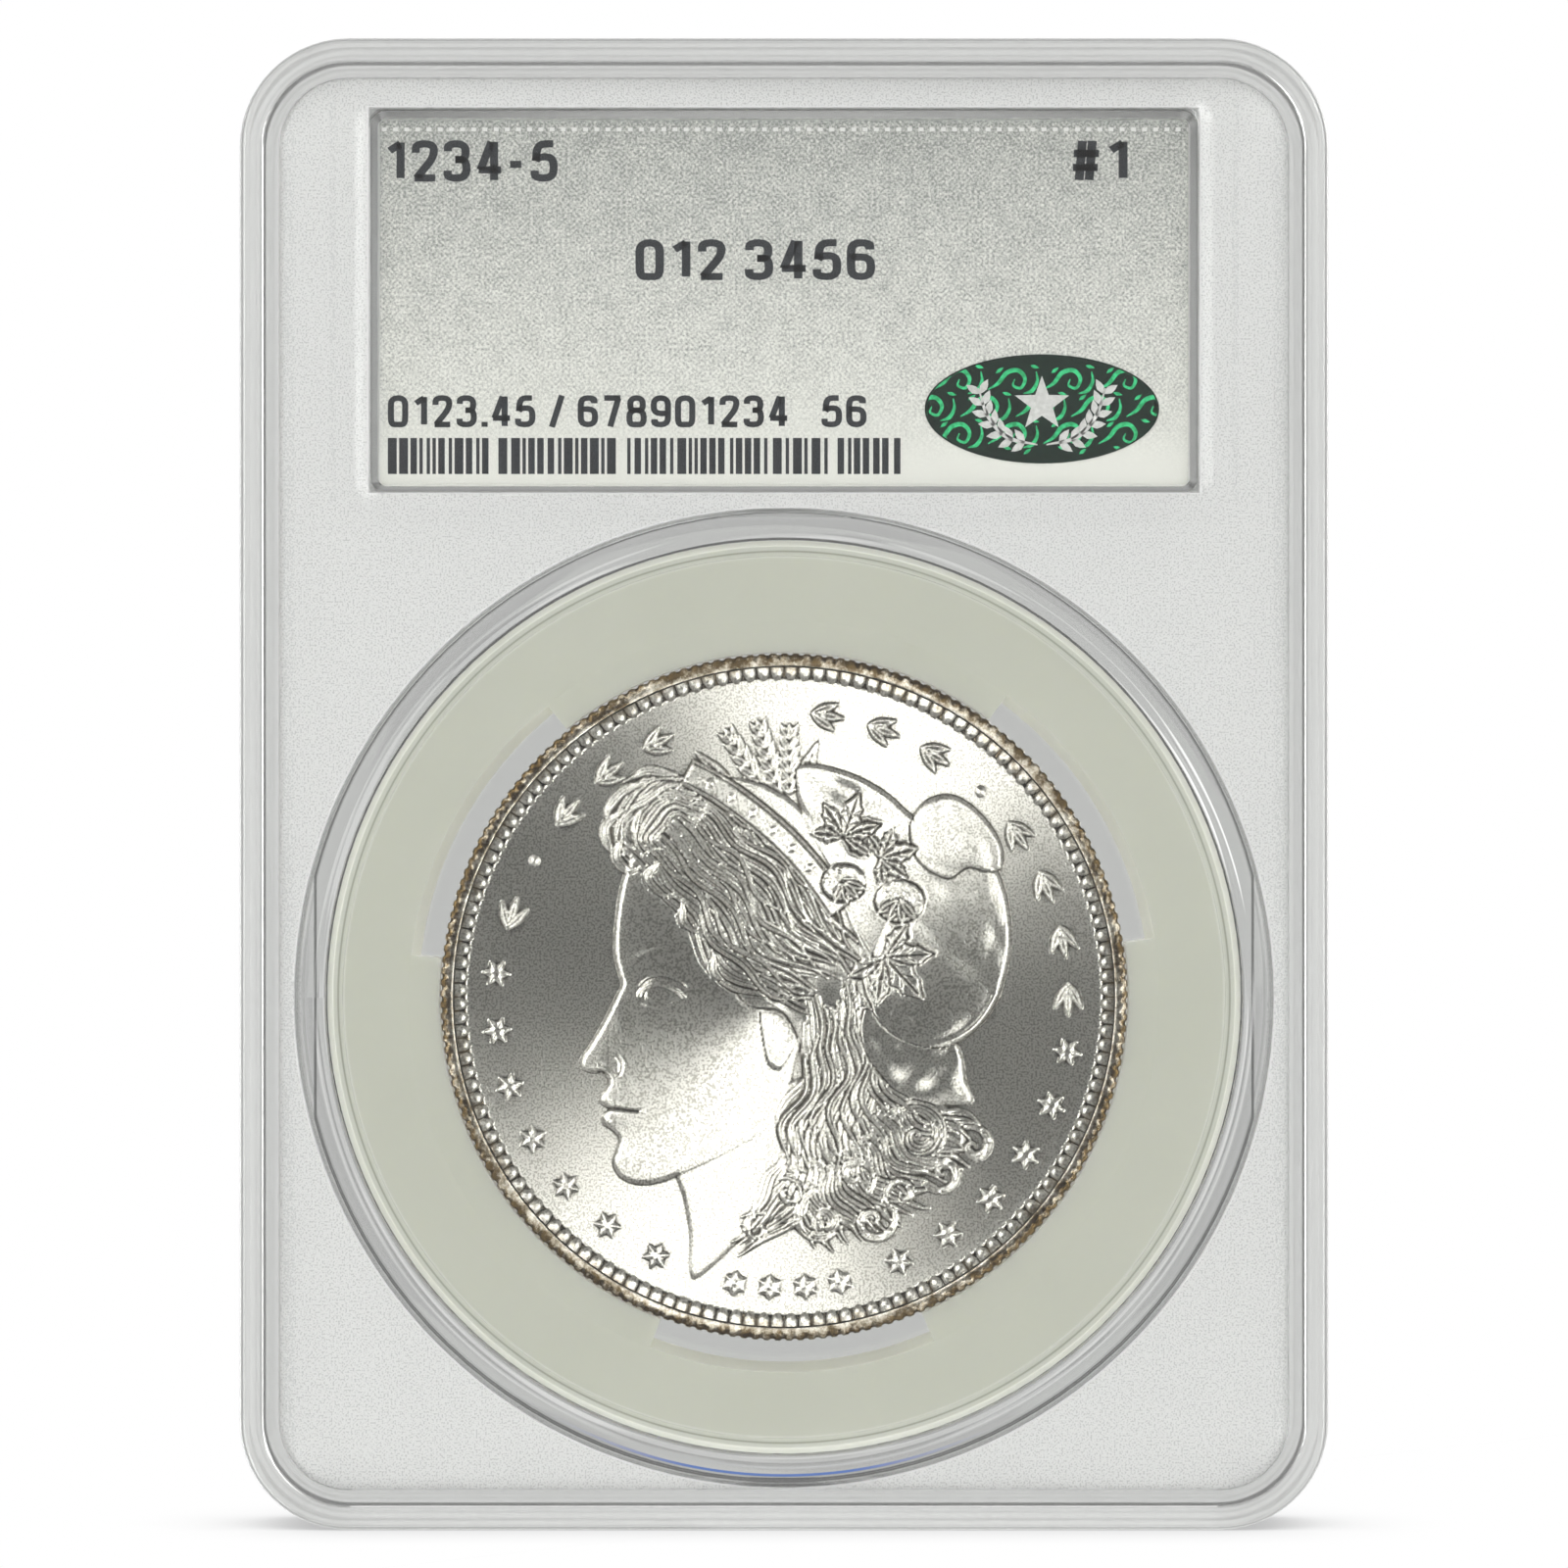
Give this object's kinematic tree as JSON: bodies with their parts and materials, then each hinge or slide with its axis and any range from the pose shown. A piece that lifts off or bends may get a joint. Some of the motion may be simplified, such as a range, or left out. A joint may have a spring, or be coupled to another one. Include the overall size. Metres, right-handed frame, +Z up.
{
  "type": "graded coin slab",
  "caption": "Sealed clear plastic case that holds a silver dollar in a pronged ring, with a printed label and a foil seal above it.",
  "frame": {"origin": "middle of the bottom edge, on the plane where the two shells meet", "axes": "+Z up the slab towards the label, the front face looks along -Y, +X to the right seen from the front"},
  "size_m": [0.06, 0.008, 0.0822],
  "materials": {
    "clear_shell": "clear polystyrene, frosted outside the two polished windows",
    "ring_plastic": "milky translucent, slightly green-grey",
    "coin_silver": "struck silver with mint lustre, brown and gold toning at the rim",
    "label_card": "satin card, speckled silver-grey fading to warm off-white",
    "green_foil": "holographic foil, bright green lines on near-black green",
    "silver_foil": "holographic foil, silver"
  },
  "bodies": {
    "slab": {"front_shell": "clear_shell", "rear_shell": "clear_shell", "weld_bead": "clear_shell", "prong_ring": "ring_plastic", "front_label": "label_card", "rear_label": "label_card", "oval_seal": "green_foil", "rear_seal": "silver_foil"},
    "coin": {"coin": "coin_silver"}
  },
  "joints": [
    {"name": "coin_turn", "type": "hinge", "parent": "slab", "child": "coin", "pos_m": [0, 0, 0.0293], "axis": [0, 1, 0], "continuous": true}
  ]
}
